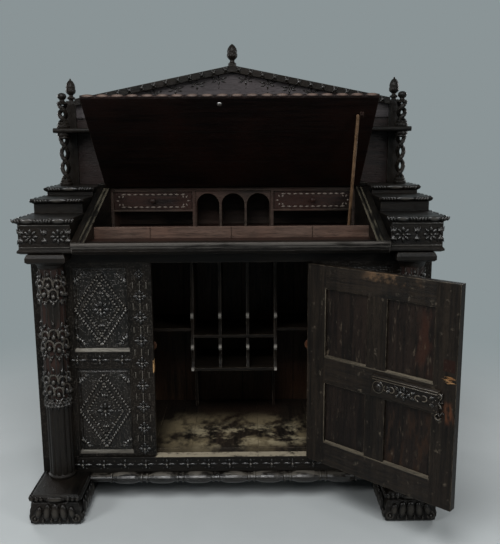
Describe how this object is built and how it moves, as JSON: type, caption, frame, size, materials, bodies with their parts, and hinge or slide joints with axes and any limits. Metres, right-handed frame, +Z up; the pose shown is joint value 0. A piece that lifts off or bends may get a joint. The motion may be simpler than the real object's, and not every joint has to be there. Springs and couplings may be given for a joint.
{
  "type": "bureau cupboard",
  "caption": "Carved dark oak clerk's desk with sloping lid over a cupboard, stepped sides, drawers and pigeonholes inside, and a gallery with pediment behind.",
  "frame": {"origin": "on the floor under the middle of the piece as it stands with its door and lid open", "axes": "+X to the viewer's right along the front, +Y from the front to the back, +Z up"},
  "size_m": [1.45, 0.9564, 1.6888],
  "materials": {
    "oak_dark": "waxed",
    "oak_inner": "dry",
    "oak_brown": "waxed",
    "oak_pale": "bare"
  },
  "bodies": {
    "case": {"case_back": "oak_inner", "case_side_left": "oak_dark", "case_side_right": "oak_dark", "cheek_left": "oak_dark", "cheek_right": "oak_dark", "column_left": "oak_dark", "column_right": "oak_dark", "cupboard_floor": "oak_inner", "desk_bed": "oak_brown", "desk_front_ledge": "oak_dark", "finial_centre": "oak_dark", "foot_left": "oak_dark", "foot_right": "oak_dark", "front_frame_left": "oak_dark", "front_frame_right": "oak_dark", "front_frieze_rail": "oak_dark", "front_panel_lower_left": "oak_dark", "front_panel_lower_right": "oak_dark", "front_panel_upper_left": "oak_dark", "front_panel_upper_right": "oak_dark", "gallery_back_panel": "oak_brown", "gallery_shelf": "oak_dark", "pediment_moulding": "oak_dark", "pediment_panel": "oak_dark", "pigeonhole_arcade": "oak_brown", "pigeonhole_case": "oak_brown", "plinth_bobbin_moulding": "oak_dark", "plinth_rail": "oak_dark", "post_left": "oak_dark", "post_right": "oak_dark", "rack_low_shelf": "oak_inner", "rack_middle_shelf": "oak_inner", "rack_upright_1": "oak_inner", "rack_upright_2": "oak_inner", "rack_upright_3": "oak_inner", "rack_upright_4": "oak_inner", "side_shelf_left": "oak_inner", "side_shelf_right": "oak_inner", "step_1_left": "oak_dark", "step_1_right": "oak_dark", "step_2_left": "oak_dark", "step_2_right": "oak_dark", "step_3_left": "oak_dark", "step_3_right": "oak_dark", "top_board": "oak_dark", "twist_column_left": "oak_dark", "twist_column_right": "oak_dark", "twist_spindle_left": "oak_dark", "twist_spindle_right": "oak_dark", "well_divider": "oak_brown"},
    "door": {"door_frame": "oak_inner", "door_lock_bar": "oak_inner", "door_panel_lower_hinge": "oak_inner", "door_panel_lower_latch": "oak_inner", "door_panel_upper_hinge": "oak_inner", "door_panel_upper_latch": "oak_inner"},
    "lid": {"lid": "oak_brown"},
    "stay": {"lid_stay": "oak_pale"},
    "drawer_left": {"drawer_left": "oak_brown"},
    "drawer_right": {"drawer_right": "oak_brown"}
  },
  "joints": [
    {"name": "door_hinge", "type": "hinge", "parent": "case", "child": "door", "pos_m": [0.28302, -0.07232, 0.167], "axis": [0, 0, 1], "range_deg": [-137, 25]},
    {"name": "lid_hinge", "type": "hinge", "parent": "case", "child": "lid", "pos_m": [0, 0.28418, 1.142], "axis": [-1, 0, 0], "range_deg": [-58.8, 2]},
    {"name": "stay_pivot", "type": "hinge", "parent": "lid", "child": "stay", "pos_m": [0.436, -0.03453, 1.38474], "axis": [0.1837, 0.8307, 0.5256], "range_deg": [-2.2, 60.4]},
    {"name": "drawer_left_slide", "type": "slide", "parent": "case", "child": "drawer_left", "axis": [0, -1, 0], "range_m": [0, 0.07]},
    {"name": "drawer_right_slide", "type": "slide", "parent": "case", "child": "drawer_right", "axis": [0, -1, 0], "range_m": [0, 0.07]}
  ],
  "couplings": [
    {"joint": "stay_pivot", "follows": "lid_hinge", "ratio": -1.0256}
  ]
}
